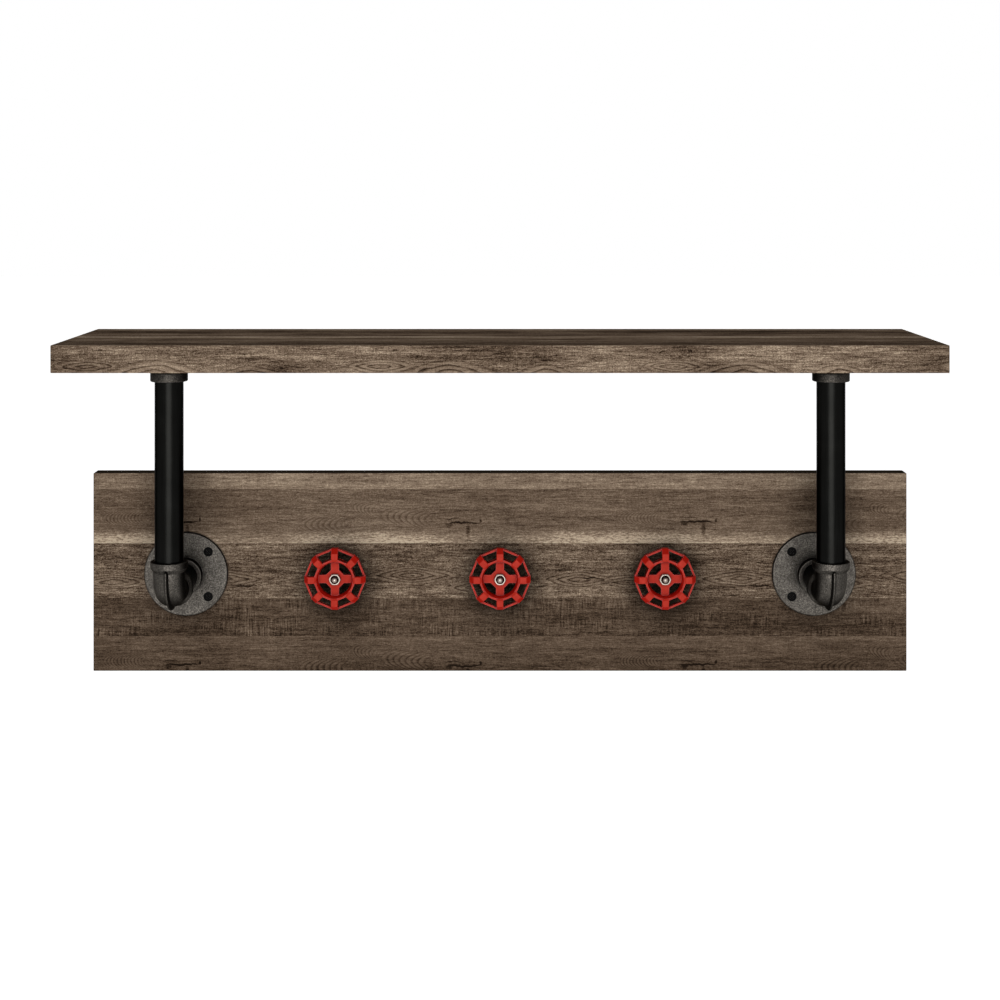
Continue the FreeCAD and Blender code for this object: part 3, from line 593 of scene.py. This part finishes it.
    def shaded(self, colour):
        """The colour, with painted shade round what lies on the board and what stands off it."""
        near = self.openness(0.02)
        far = self.math("DIVIDE", self.openness(0.1, SHADE_LEAN), near)
        near_shade = self.step(near, 0.4, 0.85, to_low=0.9, to_high=0.0)
        far_shade = self.step(far, 0.64, 0.97, to_low=0.97, to_high=0.0)
        return self.mix(self.larger(far_shade, near_shade), colour, WOOD_SHADE)


def wood(name, layout):
    """A printed wood face in planks, with fibre, pores, rings, saw marks and cracks."""
    sh = WoodShader(name, layout)
    tone = sh.tone()
    if layout.pale_edge:
        tone = sh.add(tone, sh.paler(layout.pale_edge))
    colour = sh.shaded(sh.ramp(tone, WOOD_BROWNS))
    if layout.dark_edges:
        # Painted shade: the back board's edge faces are darkened
        edge_face = sh.math("LESS_THAN", sh.unsigned(sh.facing()[1]), EDGE_SHARE)
        colour = sh.mix(sh.times(edge_face, 0.9), colour, WOOD_EDGE_SHADE)
    colour = sh.worn(colour, WOOD_WORN, radius=0.0014, low=0.08, high=0.4, strength=0.7)
    relief = sh.add(sh.times(sh.fibre, 0.6), sh.times(sh.saw, 0.3), sh.times(sh.split, -1.0))
    return sh.finish(
        Base_Color=colour,
        Roughness=sh.step(sh.fibre, 0.2, 0.8, to_low=0.74, to_high=0.56),
        Specular_IOR_Level=0.0,
        Normal=sh.bump(relief, depth=0.0003, strength=0.4),
    )


def cast_iron(name):
    """Dark grey casting with a grainy skin, and painted shade above, below, in corners and towards the
    middle.
    """
    sh = Shader(name)
    place = sh.place()
    grain = sh.noise(place, scale=0.9, detail=3.0, roughness=0.65)
    cloud = sh.noise(place, scale=0.05)
    shade = sh.add(0.5, sh.shifted(grain, gain=1.9), sh.shifted(cloud, gain=0.4))
    colour = sh.ramp(shade, IRON_GREYS)
    # Painted shade in the corners
    colour = sh.corner_shaded(colour, IRON_CORNER_SHADE, distance=0.04, low=0.36, high=0.95, strength=0.97)
    # Painted shade on faces that look up or down and on sides that face the middle
    level = sh.step(sh.unsigned(sh.facing()[2]), 0.3, 0.95, to_high=0.9)
    to_middle = sh.math("SIGN", sh.times(sh.parts(place)[0], -1.0))
    inner_side_shade = sh.step(sh.times(sh.facing()[0], to_middle), 0.55, 0.95, to_high=0.85)
    colour = sh.mix(sh.larger(level, inner_side_shade), colour, IRON_FACING_SHADE)
    colour = sh.worn(colour, IRON_WORN, radius=0.0012, low=0.06, high=0.4, strength=0.35)
    return sh.finish(
        Base_Color=colour,
        Metallic=1.0,
        Roughness=sh.step(grain, 0.2, 0.8, to_low=0.5, to_high=0.4),
        Specular_Tint=DARK_RIM,
        Normal=sh.bump(grain, depth=0.0006, strength=0.5),
    )


def black_pipe(name):
    """Satin black coated steel tube, drawn in its length."""
    sh = Shader(name)
    place = sh.place()
    x, y, z = sh.parts(place)
    drawn_place = sh.vector(sh.times(x, 1.6), sh.times(y, 1.6), sh.times(z, 0.03))
    drawn = sh.noise(drawn_place, detail=3.0)
    cloud = sh.noise(place, scale=0.05)
    shade = sh.add(0.5, sh.shifted(drawn, gain=0.6), sh.shifted(cloud, gain=0.5))
    colour = sh.ramp(shade, PIPE_BLACKS)
    colour = sh.worn(colour, PIPE_WORN, radius=0.001, low=0.1, high=0.5, strength=0.5)
    return sh.finish(
        Base_Color=colour,
        Metallic=1.0,
        Roughness=sh.step(drawn, 0.25, 0.75, to_low=0.26, to_high=0.34),
        Specular_Tint=DARK_RIM,
        Normal=sh.bump(drawn, depth=0.0001, strength=0.25),
    )


def black_screw(name):
    """Blackened steel screw heads."""
    sh = Shader(name)
    grain = sh.noise(sh.place(), scale=1.6, detail=3.0)
    colour = sh.ramp(grain, SCREW_BLACKS)
    colour = sh.worn(colour, SCREW_WORN, radius=0.0006, low=0.05, high=0.35, strength=0.55)
    return sh.finish(
        Base_Color=colour,
        Roughness=sh.step(grain, 0.2, 0.8, to_low=0.4, to_high=0.6),
        Specular_IOR_Level=0.02,
        Normal=sh.bump(grain, depth=0.0001, strength=0.3),
    )


def red_enamel(name):
    """Red painted casting, its edges paler from wear and a painted highlight, with painted shade on slopes
    and in corners.
    """
    sh = Shader(name)
    place = sh.place()
    skin = sh.noise(place, scale=0.7, detail=3.0)
    cloud = sh.noise(place, scale=0.12)
    shade = sh.add(0.5, sh.shifted(cloud, gain=0.7), sh.shifted(skin, gain=0.35))
    colour = sh.ramp(shade, WHEEL_REDS)
    # Painted shade on faces that turn away from the front
    slope = sh.step(sh.unsigned(sh.facing()[1]), 0.5, 0.92, to_low=0.85, to_high=0.0)
    colour = sh.mix(slope, colour, WHEEL_SLOPE_SHADE)
    # Painted shade in the corners and on the ring's inner walls
    colour = sh.corner_shaded(colour, WHEEL_CORNER_SHADE, distance=0.014, low=0.4, high=0.86, strength=0.94)
    # Paler edges: wear, and a painted highlight on the thin crests
    colour = sh.worn(colour, WHEEL_WEAR_AND_HIGHLIGHT, radius=0.0014, low=0.06, high=0.4, strength=0.75)
    return sh.finish(
        Base_Color=colour,
        Roughness=sh.step(skin, 0.2, 0.8, to_low=0.36, to_high=0.5),
        Specular_IOR_Level=0.04,
        Normal=sh.bump(skin, depth=0.0003, strength=0.35),
    )


def bright_steel(name):
    """Bright plated steel with fine turning marks."""
    sh = Shader(name)
    place = sh.place()
    marks = sh.noise(place, scale=2.4, detail=3.0)
    colour = sh.ramp(sh.noise(place, scale=0.3), STEEL_GREYS)
    # Painted shade in the nut's mouth and corners
    colour = sh.corner_shaded(colour, STEEL_CORNER_SHADE, distance=0.005, low=0.35, high=0.85, strength=0.97)
    return sh.finish(
        Base_Color=colour,
        Metallic=1.0,
        Roughness=sh.step(marks, 0.2, 0.8, to_low=0.34, to_high=0.48),
        Normal=sh.bump(marks, depth=0.00005, strength=0.3),
    )


def zinc_plate(name):
    """Zinc plated sheet with its faint spangle."""
    sh = Shader(name)
    place = sh.place()
    spangle = sh.node("TexVoronoi", {"Vector": place, "Scale": 0.28}).outputs["Color"]
    marks = sh.noise(place, scale=1.2, detail=3.0)
    shade = sh.add(sh.times(spangle, 0.5), sh.shifted(marks, gain=0.6), 0.25)
    return sh.finish(
        Base_Color=sh.ramp(shade, ZINC_GREYS),
        Metallic=0.9,
        Roughness=sh.step(marks, 0.2, 0.8, to_low=0.32, to_high=0.5),
        Normal=sh.bump(marks, depth=0.00005, strength=0.3),
    )


def floor_paint(name):
    """Pale paint that shows white where it is lit, and a soft grey in shadow."""
    sh = Shader(name)
    mottle = sh.noise(sh.node("TexCoord").outputs["Object"], scale=3.0)
    return sh.finish(
        Base_Color=sh.ramp(mottle, FLOOR_WHITES),
        Roughness=0.9,
        Emission_Color=WHITE,
        Emission_Strength=sh.times(sh.seen_directly(), FLOOR_GLOW),
    )


finishes = {
    "shelf_wood": wood("shelf_wood", SHELF_PRINT),
    "board_wood": wood("board_wood", BOARD_PRINT),
    "cast_iron": cast_iron("cast_iron"),
    "black_pipe": black_pipe("black_pipe"),
    "black_screw": black_screw("black_screw"),
    "red_enamel": red_enamel("red_enamel"),
    "bright_steel": bright_steel("bright_steel"),
    "zinc_plate": zinc_plate("zinc_plate"),
}

for subpart in frame["record"]["subparts"]:
    mesh = frame["nodes"][subpart["node"]].data
    mesh.materials.clear()
    mesh.materials.append(finishes[subpart["material_slot"]])


def add_camera():
    data = bpy.data.cameras.new("photo_view")
    data.sensor_width = SENSOR_WIDTH
    data.lens = FOCAL_PIXELS / PICTURE_PIXELS * SENSOR_WIDTH
    data.shift_y = (HORIZON_PIXEL - PICTURE_PIXELS / 2) / PICTURE_PIXELS
    camera = bpy.data.objects.new("photo_view", data)
    camera.location = CAMERA_PLACE
    camera.rotation_euler = (math.pi / 2, 0.0, 0.0)
    bpy.context.scene.collection.objects.link(camera)
    bpy.context.scene.camera = camera


def add_lamp(name, place, aim, width, height, watts):
    """A soft box that faces a point."""
    data = bpy.data.lights.new(name, "AREA")
    data.shape = "RECTANGLE"
    data.size = width
    data.size_y = height
    data.energy = watts
    lamp = bpy.data.objects.new(name, data)
    lamp.location = place
    lamp.rotation_euler = (Vector(aim) - Vector(place)).to_track_quat("-Z", "Y").to_euler()
    bpy.context.scene.collection.objects.link(lamp)


def add_floor():
    sides = ((-1, -1), (1, -1), (1, 1), (-1, 1))
    corners = [(x * FLOOR_REACH, y * FLOOR_REACH, FLOOR_LEVEL) for x, y in sides]
    mesh = bpy.data.meshes.new("floor")
    mesh.from_pydata(corners, [], [(0, 1, 2, 3)])
    mesh.materials.append(floor_paint("floor_paint"))
    floor = bpy.data.objects.new("floor", mesh)
    bpy.context.scene.collection.objects.link(floor)


def set_world():
    """White where it is seen, and a dim fill, stronger from above, where it lights the shelf."""
    world = bpy.data.worlds.new("studio")
    world.use_nodes = True
    bpy.context.scene.world = world
    sky = Nodes(world.node_tree)
    height = sky.parts(sky.node("TexCoord").outputs["Generated"])["Z"]
    middle = (FILL_ABOVE + FILL_BELOW) / 2
    fill = sky.math("MULTIPLY_ADD", height, FILL_ABOVE - middle, middle)
    background = sky.tree.nodes["Background"]
    sky.feed(background.inputs["Color"], WHITE)
    sky.feed(background.inputs["Strength"], sky.blend(sky.seen_directly(), fill, 1.0))


add_camera()
set_world()
add_lamp("front", place=(0.0, -2.4, 0.3), aim=(0.0, 0.0, 0.3), width=1.5, height=1.9, watts=62.0)
add_lamp("back", place=(0.0, 1.6, 1.8), aim=(0.0, 0.0, 0.1), width=1.6, height=0.8, watts=33.0)
add_floor()
bpy.context.scene.view_settings.view_transform = "Standard"
